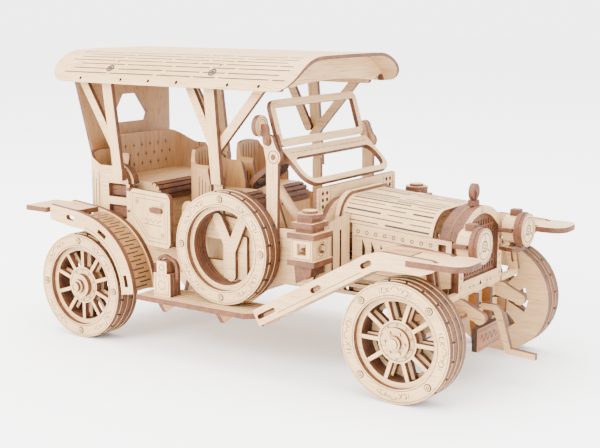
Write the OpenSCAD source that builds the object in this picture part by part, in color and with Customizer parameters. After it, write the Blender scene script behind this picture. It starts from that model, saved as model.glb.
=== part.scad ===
// Wooden self-assembly model of an open tourer car, cut from plywood sheets.
// +X is forward, +Y is the car's left, +Z is up, and the wheels stand on z = 0.

/* [Sheets] */
// Thickness of the main plywood sheet
ply = 3; // [2.5:0.1:3]
// Thickness of the thin sheet that bends
thin = 2; // [1.5:0.1:2]

/* [Wheels] */
// Distance between the front and rear axles
wheelbase = 212; // [206:1:216]
// Radius of the wheels over the tread
wheel_r = 31; // [30:0.5:31]
// Distance of the wheels' outer faces from the middle of the car
wheel_out = 66; // [65:0.5:66]
// Number of spokes in each wheel
spokes = 10; // [8:1:12]

/* [Fenders] */
// Inner radius of the rear fenders
fender_r = 35; // [34:0.5:36]
// Width of the fender side plates
fender_w = 9; // [8:0.5:10]

/* [Body] */
// Height of the floor above the ground
floor_z = 46.5; // [46:0.5:47]
// Distance of the body's outer sides from the middle
tub_y = 47; // [46:0.5:47]
// Height of the rear seat's side panels
tub_top = 100.5; // [96:0.5:102]

/* [Bonnet] */
// Half the width of the bonnet
bonnet_y = 27; // [26:0.5:28]
// Height of the bonnet's middle line
bonnet_top_z = 92; // [91:0.5:92.5]

/* [Roof] */
// Height of the roof's lower edges
roof_low = 149.3; // [148:0.1:150]
// Height of the roof's crown
roof_high = 166.8; // [166:0.1:167]
// Half the width of the roof
roof_y = 58; // [57:0.5:59]
// Front end of the roof
roof_front = 40; // [36:1:42]
// Rear end of the roof
roof_rear = -134.5; // [-136:0.5:-133]

/* [Spare wheel] */
// Place of the spare wheel along the car
spare_x = -3.7; // [-5:0.1:-3]

/* [Hidden] */
$fn = 64;
axle_x = wheelbase / 2;
axle_z = wheel_r;
// The origin is halfway between the ends: the crank's grip and the rear fender caps.
front_end = 152;
rear_end = -144;
move_x = -(front_end + rear_end) / 2;
board_top = 33.5;
rail_y = 24;
fit = 0.05;
shaft_r = 2;
stub_r = 1.6;
king_y = 40;
near = -1;
far = 1;

// ---- outlines ----
function arc(c, r, a0, a1, n = 6) =
    [for (i = [0:n]) let (a = a0 + (a1 - a0) * i / n) c + r * [cos(a), sin(a)]];
function strip(a, b, w) =
    let (t = atan2(b[1] - a[1], b[0] - a[0]))
    concat(arc(a, w / 2, t + 90, t + 270), arc(b, w / 2, t - 90, t + 90));
function round_box(x0, x1, z0, z1, r) = concat(
    arc([x1 - r, z1 - r], r, 0, 90), arc([x0 + r, z1 - r], r, 90, 180),
    arc([x0 + r, z0 + r], r, 180, 270), arc([x1 - r, z0 + r], r, 270, 360));
function band(c, ro, ri, a0, a1, n = 16) = concat(arc(c, ro, a0, a1, n), arc(c, ri, a1, a0, n));

// ---- sheets standing in each plane, centred on their place ----
module side_plate(y, t = ply)
    translate([0, y, 0]) rotate([90, 0, 0]) linear_extrude(t, center = true) children();
module cross_plate(x, t = ply)
    translate([x, 0, 0]) rotate([90, 0, 90]) linear_extrude(t, center = true) children();
module flat_plate(z, t = ply)
    translate([0, 0, z]) linear_extrude(t, center = true) children();
module both_sides() {
    children();
    mirror([0, 1, 0]) children();
}
module pin_y(x, y0, y1, z, r)
    translate([x, y0, z]) rotate([-90, 0, 0]) cylinder(h = y1 - y0, r = r);
module placed() translate([move_x, 0, 0]) children();

// ---- wheels: plies are stacked inward from the outer face ----
face_r = wheel_r - 0.5;
rim_hole = 23.1;
tread_hole = 20.5;
hub_r = 10.8;
module ply_ring(side, depth, t, ro, ri)
    side_plate(side * (wheel_out - depth - t / 2), t) difference() {
        circle(ro);
        circle(ri);
    }
module notched_ring(side, depth, t)
    side_plate(side * (wheel_out - depth - t / 2), t) difference() {
        circle(wheel_r);
        circle(tread_hole);
        for (i = [0:19]) rotate(i * 18 + 9) translate([wheel_r, 0]) square([2, 1.3], center = true);
    }
module spoked_ply(side, depth, t, bore, turn)
    side_plate(side * (wheel_out - depth - t / 2), t) difference() {
        union() {
            circle(hub_r);
            for (i = [0:spokes - 1]) rotate(i * 360 / spokes + turn)
                translate([hub_r - 2, -1]) square([tread_hole - hub_r + 1.85, 2]);
        }
        circle(bore);
    }
module tyre(side, peg_turn) {
    ply_ring(side, 0, ply, face_r, rim_hole);
    notched_ring(side, ply, ply);
    ply_ring(side, 2 * ply, 2, face_r, tread_hole);
    ply_ring(side, 2 * ply + 2, 2, wheel_r, tread_hole);
    ply_ring(side, 2 * ply + 4, ply, face_r, tread_hole);
    for (i = [0:3]) rotate([0, i * 90 + peg_turn, 0])
        translate([26.8, side * (wheel_out - 1), 0]) rotate([90, 0, 0])
            cylinder(h = 2.8, r = 1.5, center = true);
}
module inner_disc(side, bore)
    side_plate(side * (wheel_out - 13 - ply / 2)) difference() {
        circle(wheel_r);
        circle(bore);
        for (i = [0:4]) rotate(i * 72)
            polygon([[7, -2], [17, -7], [19, 0], [17, 7], [7, 2]]);
    }
module wheel_plies(side, bore, turn) {
    spoked_ply(side, ply, ply, bore, turn);
    spoked_ply(side, 9, ply, bore, turn);
    ply_ring(side, 6, 3, 6.8, bore);
    ply_ring(side, 12, 1, 6.8, bore);
}
module at_axle(end) placed() translate([end * axle_x, 0, axle_z]) children();

module rear_tyres() color("burlywood") at_axle(-1) for (side = [near, far]) {
    tyre(side, 0);
    inner_disc(side, 6);
}
// The rear wheels are pressed on their shaft, and turn with it.
module rear_wheels() color("peru") at_axle(-1) {
    bore = shaft_r + 0.02;
    for (side = [near, far]) {
        wheel_plies(side, bore, 18);
        ply_ring(side, 0, ply, 6.8, bore);
        ply_ring(side, -2, 2, 4, bore);
        ply_ring(side, -4, 2, 2.8, bore);
        ply_ring(side, 13, ply, 5.9, bore);
    }
    pin_y(0, -wheel_out - 3.5, wheel_out + 3.5, 0, shaft_r);
}
module front_tyre(side) color("burlywood") at_axle(1) {
    tyre(side, 45);
    inner_disc(side, 6);
}
module front_tyre_near() front_tyre(near);
module front_tyre_far() front_tyre(far);
// A front wheel runs freely on its knuckle's stub, and a blind cap covers the stub's end.
module front_wheel(side) color("peru") at_axle(1) {
    bore = stub_r + fit;
    wheel_plies(side, bore, 0);
    ply_ring(side, 1, 2, 7.5, bore);
    ply_ring(side, -1, 2, 3.8, bore);
    ply_ring(side, -2, 1, 2.6, 0);
    ply_ring(side, 13, ply, 5.9, bore);
    for (i = [0:5]) rotate([0, i * 60, 0])
        translate([5.5, side * (wheel_out - 0.6), 0]) rotate([90, 0, 0])
            cylinder(h = 1.6, r = 0.7, center = true);
}
module front_wheel_near() front_wheel(near);
module front_wheel_far() front_wheel(far);

// ---- steering gear ----
arm_x = axle_x - 12;
rod_z = 24;
arm_pin_r = 1;
king_r = 1.5;
module knuckle(side) color("tan") placed() {
    // two fork plates over and under the beam, joined by the plate that carries the stub
    for (z = [37.5, 24.5]) flat_plate(z, 2.4)
        polygon([[axle_x - 5, side * 36], [axle_x + 5, side * 36],
            [axle_x + 7, side * 48], [axle_x - 7, side * 48]]);
    side_plate(side * 47, 2) polygon(round_box(axle_x - 7, axle_x + 7, 23.3, 38.7, 3));
    // steering arm with its pin
    flat_plate(24.5, 2.4) polygon(strip([axle_x, side * king_y], [arm_x, side * king_y], 5));
    translate([arm_x, side * king_y, 18.5]) cylinder(h = 6, r = arm_pin_r);
    translate([axle_x, side * king_y, 23.3]) cylinder(h = 15.4, r = king_r);
    pin_y(axle_x, min(side * 47, side * (wheel_out - 0.4)),
        max(side * 47, side * (wheel_out - 0.4)), axle_z, stub_r);
}
module knuckle_near() knuckle(near);
module knuckle_far() knuckle(far);
// The rod swings on the near arm's pin and hangs with clearance on the far one.
module tie_rod() color("tan") placed() flat_plate(rod_z - 3.2, 2) difference() {
    polygon(strip([arm_x, -king_y], [arm_x, king_y], 7));
    translate([arm_x, -king_y]) circle(arm_pin_r + fit);
    translate([arm_x, king_y]) circle(arm_pin_r + 0.4);
}
module front_axle_beam() color("tan") placed() {
    // the beam stands on edge, and its flat ends hold the kingpins
    difference() {
        cross_plate(axle_x, 6) polygon(concat(
            [[-34, 28], [-30, 26], [30, 26], [34, 28], [44, 28], [44, 34]],
            [[34, 34], [26, 36], [-26, 36], [-34, 34], [-44, 34], [-44, 28]]));
        for (side = [near, far]) translate([axle_x, side * king_y, 20])
            cylinder(h = 20, r = king_r + fit);
    }
}
// Column, wheel and shaft lean back on one slanted line.
wheel_centre = [-1.5, -20, 100];
column_lean = 50;
module on_column() placed() translate(wheel_centre) rotate([0, column_lean - 90, 0]) children();
module steering_wheel() color("saddlebrown") on_column() {
    difference() {
        translate([0, 0, -1.5]) cylinder(h = 3, r = 12);
        translate([0, 0, -2]) cylinder(h = 4, r = 9.5);
    }
    for (i = [0:3]) rotate(i * 90) translate([1, -1, -1]) cube([9.5, 2, 2]);
    translate([0, 0, -2.5]) cylinder(h = 5, r = 2.8);
    translate([0, 0, -54]) cylinder(h = 54, r = 1.2);
}
column_foot = 50;
module steering_column() color("tan") on_column() difference() {
    translate([0, 0, -column_foot]) cylinder(h = 42, r = 2.6);
    translate([0, 0, -column_foot - 1]) cylinder(h = 44, r = 1.2 + fit);
}
lever_foot = [26, 62];
lever_y = -38;
module brake_lever() color("tan") placed() side_plate(lever_y, 2) difference() {
    polygon(strip(lever_foot, [16, 88], 3.4));
    translate(lever_foot) circle(1 + fit);
}

// ---- chassis ----
module rail_outline() polygon(concat(
    [[-128, 40], [-113, 40], [-111, 27]], arc([-axle_x, 27], 5, 180, 360),
    [[-99, 40], [100, 40], [101, 39]], [[118, 39]],
    arc([131.5, 38.5], 3.4, 215, 400, 8), [[122, 46.5], [-128, 46.5]]));
module chassis_rails() color("wheat") placed() both_sides()
    side_plate(-rail_y) difference() {
        rail_outline();
        translate([-axle_x, axle_z]) circle(shaft_r + fit);
        for (x = [-70, -30, 20, 60]) polygon(round_box(x - 9, x + 9, 42, 44.6, 1.2));
    }
member_x = [-120, -62, 54];
crank_z = 38.4;
crank_r = 1.6;
module cross_members() color("burlywood") placed() {
    for (x = member_x) cross_plate(x)
        polygon(round_box(-rail_y + 1.5, rail_y - 1.5, 39, 46.5, 0.5));
    // the front member is the crank's bearing
    cross_plate(116) difference() {
        polygon([[-22.5, 39], [-6, 39], [-4, 34], [4, 34], [6, 39],
            [22.5, 39], [22.5, 46.5], [-22.5, 46.5]]);
        translate([0, crank_z]) circle(crank_r + fit);
    }
    // board carriers: tapered plates with a low point under each board
    for (x = [-44, -3]) cross_plate(x) polygon([[-67, 30.5], [-62, 23.5], [-50, 27], [-22.5, 34],
        [22.5, 34], [50, 27], [62, 23.5], [67, 30.5], [44.5, 30.5], [40, 40], [-40, 40],
        [-44.5, 30.5]]);
}
module floor_pan() color("wheat") placed() flat_plate(floor_z + ply / 2)
    polygon([[-110, -tub_y + ply], [46, -tub_y + ply], [46, tub_y - ply], [-110, tub_y - ply]]);
module leaf(c, half, rise, w)
    side_plate(0, w) polygon(concat(
        [for (i = [-6:6]) c + [half * i / 6, rise * i * i / 36 + 1]],
        [for (i = [6:-1:-6]) c + [half * i / 6, rise * i * i / 36 - 1]]));
module leaf_springs() color("tan") placed() both_sides() {
    translate([0, -30.3, 0]) for (i = [0:2]) leaf([-axle_x, 38 - 1.8 * i], 20 - 5 * i, 3, 6);
    translate([0, -28.7, 0]) leaf([axle_x, 37.1], 19, 2.3, 6);
}

// ---- running boards and fenders ----
module running_boards() color("burlywood") placed() both_sides() flat_plate(board_top - ply / 2)
    polygon([[-58, -tub_y], [-58, -70], [17, -70], [22, -66], [22, -tub_y]]);
fender_out = 68;
fender_in = 50.2;
rear_c = [-axle_x, axle_z];
function rear_fender_edge() = concat(
    arc(rear_c, fender_r + fender_w, 2, 78, 16), [[-104, 75.6], [-126, 77.8], [-126, 69]],
    arc(rear_c, fender_r, 92, 0, 16));
module tab_slot(a, b, w) polygon(strip(a, b, w));
module rear_fender_plate(y) side_plate(y) difference() {
    polygon(rear_fender_edge());
    tab_slot([-111.5, 71.6], [-108, 71.2], 3);
    for (a = [58, 12]) translate(rear_c) rotate(a)
        polygon(band([0, 0], fender_r + 5.6, fender_r + 3, -5, 5, 4));
}
module rear_fender_sides() color("wheat") placed() both_sides() {
    rear_fender_plate(-fender_out + ply / 2);
    rear_fender_plate(-fender_in + ply / 2);
}
fender_gap = fender_out - fender_in - ply;
module rear_fender_covers() color("tan") placed() both_sides()
    side_plate(-(fender_out - ply + fender_in) / 2, fender_gap)
        polygon(band(rear_c, fender_r + fender_w - 1, fender_r + fender_w - 1 - thin, 3, 82, 24));
// A cap is a flat plate with notches that pass over the side plates.
module rear_fender_caps() color("wheat") placed() both_sides() flat_plate(74.6, 3)
    polygon([[-144, -fender_out - 2], [-127, -fender_out - 2], [-127, -fender_out + ply],
        [-104.5, -fender_out + ply], [-104.5, -fender_in], [-127, -fender_in],
        [-127, -fender_in + ply + 1], [-144, -fender_in + ply + 1]]);

// The front fender rises in a straight run, then levels out over the wheel.
lower_run = [24, 31.5];
upper_run = [92, 69.5];
run_a = atan2(upper_run[1] - lower_run[1], upper_run[0] - lower_run[0]);
function front_fender_edge(w) = let (n = [-sin(run_a), cos(run_a)]) concat(
    [lower_run + n * w / 2, upper_run + n * w / 2], arc([100, 62.5], 9 + w / 2, 112, 86, 4),
    arc([126, 71.5 - 4 + w / 2], 3, 70, -60, 4), [[121, 71.5 - w / 2], [108, 71.5 - w / 2]],
    arc([100, 62.5], 9 - w / 2, 90, 112, 4), [upper_run - n * w / 2, lower_run - n * w / 2]);
module front_fender_plate(y) side_plate(y) difference() {
    polygon(front_fender_edge(9));
    for (t = [0.55, 0.98]) let (c = lower_run + t * (upper_run - lower_run))
        tab_slot(c - [1.8, 1], c + [1.8, 1], 3);
    let (c = lower_run + 0.09 * (upper_run - lower_run)) tab_slot(c - [4, 2.2], c + [5, 2.8], 2.6);
}
module front_fender_sides() color("wheat") placed() both_sides() {
    front_fender_plate(-fender_out + ply / 2);
    front_fender_plate(-fender_in + ply / 2);
}
module front_fender_covers() color("tan") placed() both_sides()
    side_plate(-(fender_out - ply + fender_in) / 2, fender_gap) {
        n = [-sin(run_a), cos(run_a)];
        start = lower_run + 0.13 * (upper_run - lower_run);
        polygon([start + n * 3.5, upper_run + n * 3.5, [102, 74.2], [111.8, 74.5],
            [111.8, 72.5], [102, 72.2], upper_run + n * 1.5, start + n * 1.5]);
    }
tongue_z = 72.6;
module front_fender_caps() color("wheat") placed() both_sides() flat_plate(tongue_z) difference() {
    polygon(concat([[112, -fender_out + ply], [114, -fender_out + ply], [114, -70.5]],
        arc([137, -62.5], 8, -90, 0, 6), arc([137, -54.5], 8, 0, 90, 6),
        [[129.6, -46.5], [129.6, -fender_in], [112, -fender_in]]));
    polygon(round_box(112, 129.5, -fender_out - 0.1, -fender_out + ply + 0.1, 0.2));
}
module fender_stays() color("tan") placed() both_sides() {
    // a slanted stay under each front fender's tip, with a bar in to the chassis rail
    side_plate(-45.3, 2) difference() {
        polygon([[110, 71], [117, 71], [121, 49.5], [116, 46.5]]);
        polygon(strip([115.4, 66], [117.6, 54], 1.6));
    }
    cross_plate(114, 3) polygon([[-47.2, 68], [-44.3, 68], [-44.3, 71], [-47.2, 71]]);
    cross_plate(118.5, 3) polygon([[-46.3, 46.5], [-25, 46.5], [-25, 49.5], [-46.3, 49.5]]);
    // spacers that hold the lower ends of both fenders
    cross_plate(-60.9, 3) polygon([[-50, 38], [-tub_y, 38], [-tub_y, 47], [-50, 47]]);
    cross_plate(25.8, 2.4) polygon([[-65, 27], [-fender_in, 27], [-fender_in, 34], [-65, 34]]);
}

// ---- tub ----
side_y = tub_y - ply / 2;
door_x0 = -81;
hinge_x = door_x0 + 0.4;
hinge_low = 75.6;
hinge_high = 88.4;
hinge_r = 0.8;
door_x1 = -42;
module tub_sides() color("wheat") placed() {
    both_sides() side_plate(-side_y) difference() {
        polygon(concat([[-104, floor_z], [-104, tub_top], [-93, tub_top]],
            arc([-93, 90.5], 10, 90, 0, 8), [[door_x0 - 1, 90.5]],
            [[door_x0 - 1, 74], [-65, 57.5], [door_x1 - 1, 57.5], [door_x1 - 1, 78]],
            arc([door_x1 + 4, 80], 5, 180, 90, 4),
            [[-20, 80.5], [8, 76.5], [44, 76.5], [46, 74], [46, floor_z]]));
        for (z = [70, 82.5]) polygon(round_box(-98.5, door_x0 - 3.5, z, z + 8, 0.6));
        polygon(round_box(-38, -12, 54, 66, 3));
    }
    // hinge pins for the doors, each between two lugs
    both_sides() {
        translate([hinge_x, -door_y, hinge_low]) cylinder(h = hinge_high - hinge_low, r = hinge_r);
        for (z = [hinge_low, hinge_high]) flat_plate(z, 1.2)
            polygon(strip([hinge_x, -door_y], [hinge_x, -tub_y + 1.4], 2.8));
    }
    // pivot for the brake lever
    pin_y(lever_foot[0], -tub_y + ply, lever_y + 1.4, lever_foot[1], 1);
}
// The rear of the tub is one sheet bent round both corners.
module tub_rear() color("wheat") placed() intersection() {
    translate([0, 0, floor_z]) linear_extrude(70) polygon(concat(
        [[-104.1, tub_y], [-104.1, tub_y - 2]], arc([-106, tub_y - 14], 12, 90, 180, 8),
        arc([-106, -tub_y + 14], 12, 180, 270, 8), [[-104.1, -tub_y + 2], [-104.1, -tub_y]],
        arc([-106, -tub_y + 14], 14, 270, 180, 8), arc([-106, tub_y - 14], 14, 180, 90, 8)));
    // the top edge climbs towards the back
    side_plate(0, 120) polygon([[-130, 40], [-130, 107.5], [-119, 107.5], [-104.1, tub_top], [-100, tub_top],
        [-100, 40]]);
}
seat_floor = floor_z + ply;
bench_top = 81;
module rear_seat_base() color("tan") placed() {
    // box under the bench, and the layered plies behind the side panels' windows
    for (x = [-72, -102]) cross_plate(x)
        polygon([[-38, seat_floor], [38, seat_floor], [38, bench_top], [-38, bench_top]]);
    both_sides() for (z = [70.5, 73.5, 83, 86])
        flat_plate(z + ply / 2, 2.6) polygon([[-99, -tub_y + ply], [-84, -tub_y + ply],
            [-84, -39.5], [-99, -39.5]]);
    // rolled arm rests: two quarter discs a side
    both_sides() for (i = [0:1]) side_plate(-42.5 + 2.9 * i, 2.8)
        polygon(concat([[-103, 90.5]], arc([-93, 90.5], 11.5 - i, 90, 0, 8)));
}
module seat_cushion(x0, x1, y0, y1, z0, corner) intersection() {
    // a sheet bent down over the front edge, on a pad whose rear corners fit the seat back
    r = 8;
    side_plate((y0 + y1) / 2, y1 - y0) difference() {
        polygon(concat([[x0, z0], [x0, z0 + r + 2]], arc([x1 - r, z0 + 2], r, 90, 0, 8), [[x1, z0]]));
        for (a = [80, 56, 32, 8]) translate([x1 - r, z0 + 2]) rotate(a)
            translate([r, 0]) square([2.4, 0.9], center = true);
    }
    translate([0, 0, z0 - 1]) linear_extrude(r + 6) polygon(concat(
        arc([x0 + corner, y1 - corner], corner, 90, 180, 8),
        arc([x0 + corner, y0 + corner], corner, 180, 270, 8), [[x1 + 3, y0], [x1 + 3, y1]]));
}
// A seat back is a sheet bent to a horseshoe, cut off by a falling line seen from the side.
module horseshoe(c, half_w, r, t, reach) polygon(concat(
    [[c[0] + reach, c[1] + half_w]], arc([c[0] + r, c[1] + half_w - r], r, 90, 180, 8),
    arc([c[0] + r, c[1] - half_w + r], r, 180, 270, 8), [[c[0] + reach, c[1] - half_w]],
    [[c[0] + reach, c[1] - half_w + t]], arc([c[0] + r, c[1] - half_w + r], r - t, 270, 180, 8),
    arc([c[0] + r, c[1] + half_w - r], r - t, 180, 90, 8), [[c[0] + reach, c[1] + half_w - t]]));
module rear_seat_back() color("tan") placed() intersection() {
    translate([0, 0, bench_top]) linear_extrude(60) horseshoe([-113.2, 0], 38, 15, 2.4, 22);
    side_plate(0, 100) polygon(concat([[-116, 78], [-116, 118]], arc([-106, 100], 15.5, 90, 0, 8),
        [[-90.5, 92], [-90, 78]]));
    cross_plate(-100, 60) polygon(concat([[-45, 78], [-38.5, 97]], arc([-21, 98.3], 17, 175, 90, 8),
        arc([21, 98.3], 17, 90, 5, 8), [[38.5, 97], [45, 78]]));
}
seat_y = 21;
seat_back_x = -49;
seat_top = 78;
seat_half = 17;
module front_seat_bases() color("tan") placed() both_sides() {
    for (side = [near, far]) side_plate(-seat_y + side * 15)
        polygon([[-43, seat_floor], [-16, seat_floor], [-16, seat_top], [-43, seat_top]]);
    cross_plate(-14.5) polygon([[-seat_y - 16.5, seat_floor], [-seat_y + 16.5, seat_floor],
        [-seat_y + 16.5, seat_top], [-seat_y - 16.5, seat_top]]);
}
module seat_cushions() color("burlywood") placed() {
    seat_cushion(-110.6, -68, -35.4, 35.4, bench_top, 12.6);
    both_sides() seat_cushion(-46.6, -12, -seat_y - 14.6, -seat_y + 14.6, seat_top, 8.8);
}
module front_seat_backs() color("tan") placed() both_sides() intersection() {
    translate([0, 0, seat_top]) linear_extrude(50) horseshoe([seat_back_x, -seat_y], seat_half, 11, 2.2, 20);
    side_plate(-seat_y, 60) polygon(concat([[-50, 72], [-50, 113]], arc([-45, 99], 14, 90, 20, 6),
        [[-29, 92]], [[-28, 86], [-28, 72]]));
    translate([-38, -seat_y, 0]) cross_plate(0, 30) polygon(concat([[-21, 72], [-17.2, 96]],
        arc([-11, 99], 6.5, 165, 110, 3), arc([0, 82], 31, 107, 73, 8), arc([11, 99], 6.5, 70, 15, 3),
        [[17.2, 96], [21, 72]]));
}
// The footboard is square to the steering column, and its shaft runs through it.
module footboard() color("wheat") on_column() translate([0, 0, -column_foot - 2]) difference() {
    translate([0, -wheel_centre[1], 0]) linear_extrude(2) difference() {
        polygon([[-16.2, -42], [12, -42], [12, 42], [-16.2, 42]]);
        for (x = [-9, -4.5, 0, 4.5, 9]) for (y = [24, 2])
            translate([x, y]) square([1.4, 15], center = true);
        translate([-6, -33.5]) square([11, 12], center = true);
    }
    translate([0, 0, -1]) cylinder(h = 4, r = 1.2 + fit);
}
// The dash stands behind the bonnet, and a sloped face rises from it to the windscreen.
dash_x = 46;
function arch(y, z0, z1, r) = concat([[-y, z0]], arc([-y + r, z1 - r], r, 180, 100, 6),
    arc([y - r, z1 - r], r, 80, 0, 6), [[y, z0]]);
module dash_panel() color("wheat") placed() {
    cross_plate(dash_x) difference() {
        polygon(arch(41, floor_z + ply, 92, 20));
        polygon(round_box(-20, 20, 56, 80, 4));
    }
    // upright face plate under the windscreen, with rows of small cut-outs near its ends
    cross_plate(42.9, 2.2) difference() {
        polygon(round_box(-41, 41, 70, 98.4, 1));
        for (y = [-35, -31, 31, 35]) for (z = [88, 91.5, 95])
            translate([y, z]) circle(1.1);
    }
}
function cowl_curve(cut) = [for (i = [0:8]) let (a = i * 90 / 8)
    [46 + (10 - cut) * sin(a), -27.5 - (17.5 - cut) * cos(a)]];
module cowl() color("burlywood") placed() {
    // side sheets that curve in from the tub to the bonnet, split by upright slots
    both_sides() difference() {
        intersection() {
            translate([0, 0, floor_z + 4]) linear_extrude(40)
                polygon(concat(cowl_curve(0), [for (i = [8:-1:0]) cowl_curve(2)[i]]));
            side_plate(-36, 30) polygon([[45, 50], [45, 74], [56, 85], [60, 85], [60, 50]]);
        }
        for (a = [25, 45, 65]) translate([46 + 9 * sin(a), -27.5 - 16.5 * cos(a), 66]) rotate(a - 90)
            cube([6, 1.2, 22], center = true);
    }
    cross_plate(dash_x + 3.2) difference() {
        polygon(arch(30, 78, 95, 15));
        polygon(arch(27.2, 77, 93.6, 13));
    }
}
// ---- bonnet and radiator ----
bonnet_x0 = 49.5;
bonnet_x1 = 106;
bonnet_tilt = 3.6;
bonnet_rise = 1.4;
module bonnet_top() color("wheat") placed()
    translate([bonnet_x0, 0, bonnet_top_z + bonnet_rise]) rotate([0, bonnet_tilt, 0])
    translate([-bonnet_x0, 0, -bonnet_top_z]) difference() {
        translate([bonnet_x0 + 1.5, 0, 0]) rotate([90, 0, 90]) linear_extrude(bonnet_x1 - bonnet_x0 - 1.5)
            difference() {
                polygon(arch(bonnet_y, 79, bonnet_top_z, 12.9));
                polygon(arch(bonnet_y - thin, 78, bonnet_top_z - thin, 11.5));
            }
        both_sides() for (i = [0:3])
            translate([0, -bonnet_y + 13, bonnet_top_z - 13]) rotate([i * 20 + 8 + 180, 0, 0])
            for (x = [58 + (i % 2) * 6, 88 + (i % 2) * 4])
                translate([x, 13, 0]) cube([26, 6, 0.8], center = true);
    }
module bonnet_sides() color("wheat") placed() both_sides()
    side_plate(-bonnet_y + thin / 2, thin) difference() {
    polygon([[bonnet_x0 + 8, 50], [bonnet_x0 + 8, 79.6], [bonnet_x1 + 1, 76.5], [bonnet_x1 + 10, 76],
        [bonnet_x1 + 10, 52], [bonnet_x1, 50]]);
    for (i = [0:6]) translate([63.5 + 5.6 * i, 62])
        polygon([[0, 0], [2, 0], [2, 5.4 - 0.4 * i], [0, 10 - 0.9 * i]]);
    polygon(round_box(108.5, 113, 66, 74, 0.4));
}
module radiator_outline(grow) let (w = 24.9 - grow) polygon(concat([[-w, 46.5], [-w, 74]],
    arc([-w + 14, 73.4], 14, 172, 128, 4), arc([0, 60 - grow], 31, 118, 62, 8),
    arc([w - 14, 73.4], 14, 52, 8, 4), [[w, 74], [w, 46.5]]));
rad_front = 119.5;
module radiator_core() color("peru") placed() for (i = [0:2])
    cross_plate(rad_front - 4.5 - 3 * i, 2.9) difference() {
        radiator_outline(i % 2 == 0 ? 0.8 : 0);
        if (i > 0) polygon(round_box(-17, 17, 55, 78, 4));
    }
module radiator_front() color("wheat") placed() cross_plate(rad_front - 1.5) difference() {
    radiator_outline(0);
    polygon(concat([[-20, 54.5], [-20, 78]], arc([0, 62], 25, 130, 50, 10), [[20, 78], [20, 54.5]]));
    polygon([[-1.5, 49.5], [1.5, 49.5], [0, 52.3]]);
}
module radiator_grille() color("tan") placed() cross_plate(rad_front - 2.4, 1) difference() {
    polygon(concat([[-19.9, 54.6], [-19.9, 78]], arc([0, 62], 24.9, 130, 50, 10),
        [[19.9, 78], [19.9, 54.6]]));
    for (i = [0:12]) for (j = [0:6])
        translate([-17.4 + 2.9 * i, 57.5 + 4 * j]) square([1.7, 3], center = true);
}
module mascot() color("peru") placed() {
    translate([114.5, 0, 91]) cylinder(h = 2.6, r = 3);
    cross_plate(114.5, 2.4) polygon(arc([0, 98], 4.4, -60, 240, 16));
    side_plate(0, 2) polygon([[113, 93], [116, 93], [116.8, 98], [114.5, 101.4], [112.2, 98]]);
}
// ---- lamps ----
head = [134, 26.3, 75.7];
module headlights() color("peru") placed() for (side = [near, far])
    translate([head[0], side * head[1], head[2]]) rotate([0, -90, 0]) {
        cylinder(h = 2, r = 8.9);
        translate([0, 0, 2]) cylinder(h = 2.6, r = 9.4);
        translate([0, 0, 4.6]) cylinder(h = 7.4, r = 7.6);
        translate([7, -2.5, 4.8]) cube([3.6, 5, 5]);
    }
module headlight_brackets() color("tan") placed() for (side = [near, far]) translate([0, side * head[1], 0]) {
    // level fork round the drum, and the lower shelf with a rib that carries it
    flat_plate(76, 2) polygon([[rad_front, -4], [121, -9.8], [128.6, -9.8], [128.6, -7.8], [121.8, -7.8],
        [121.8, 7.8], [128.6, 7.8], [128.6, 9.8], [121, 9.8], [rad_front, 4]]);
    flat_plate(65.2, 2) polygon([[rad_front, -5], [128, -7], [131, -4], [131, 4], [128, 7], [rad_front, 5]]);
    cross_plate(125.6, 2) polygon([[-3, 66.1], [3, 66.1], [2, 68.05], [-2, 68.05]]);
}
module number_plate() color("chocolate") placed() {
    cross_plate(123.8, 3) polygon(round_box(-14, 14, 16.6, 29, 0.8));
    both_sides() side_plate(-8, 3)
        polygon([[117.6, 39], [117.6, 46.4], [122.3, 46.4], [122.3, 20], [120, 20]]);
}
module lantern() {
    flat_plate(61, ply) polygon(round_box(-8.4, 8.4, -9, 9, 0.4));
    for (side = [near, far]) side_plate(side * 6.6, 2.6) difference() {
        polygon(round_box(-6.4, 6.4, 62.4, 73.6, 0.1));
        polygon(round_box(-2.8, 2.8, 65, 71, 0.2));
    }
    for (side = [near, far]) cross_plate(side * 6, 2.4) difference() {
        polygon(round_box(-5.3, 5.3, 62.4, 73.6, 0.1));
        translate([0, 68]) circle(3);
    }
    flat_plate(75, ply) polygon(round_box(-8.4, 8.4, -9, 9, 0.4));
    flat_plate(77.6, 2.4) polygon(round_box(-5, 5, -6, 6, 0.4));
    flat_plate(80.2, 2.8) polygon(round_box(-6.6, 6.6, -7.6, 7.6, 0.6));
    flat_plate(82.7, 2.4) polygon(round_box(-4.6, 4.6, -5.4, 5.4, 0.4));
    translate([0, 0, 83.8]) cylinder(h = 2.2, r = 6.6);
    translate([0, 0, 86]) cylinder(h = 1.4, r = 4);
    for (side = [near, far]) side_plate(side * 4.6, 2.4)
        polygon([[-5, 49.4], [4, 54], [5, 59.6], [-6, 59.6]]);
}
module side_lamps() color("tan") placed() both_sides() translate([50, -tub_y - 9, 2.5]) lantern();
module fuel_can() color("wheat") placed() translate([-42.3, -61.5, 0]) {
    for (i = [0:2]) side_plate(-3 + 3 * i, 2.9) polygon(round_box(-5.9, 5.9, board_top, 46.7, 0.5));
    for (i = [0:2]) side_plate(-3 + 3 * i, 2.9) polygon(round_box(-3.5, 3.5, 46.7, 53.6, 0.8));
    side_plate(0, 2) polygon(concat(arc([-1, 50.6], 6, 150, 60, 5), arc([2.6, 49.4], 6, 60, 0, 5),
        [[8.6, 43], [6.8, 43]], arc([2.6, 49.4], 4.2, 0, 60, 5), arc([-1, 50.6], 4.2, 60, 150, 5)));
}
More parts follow.
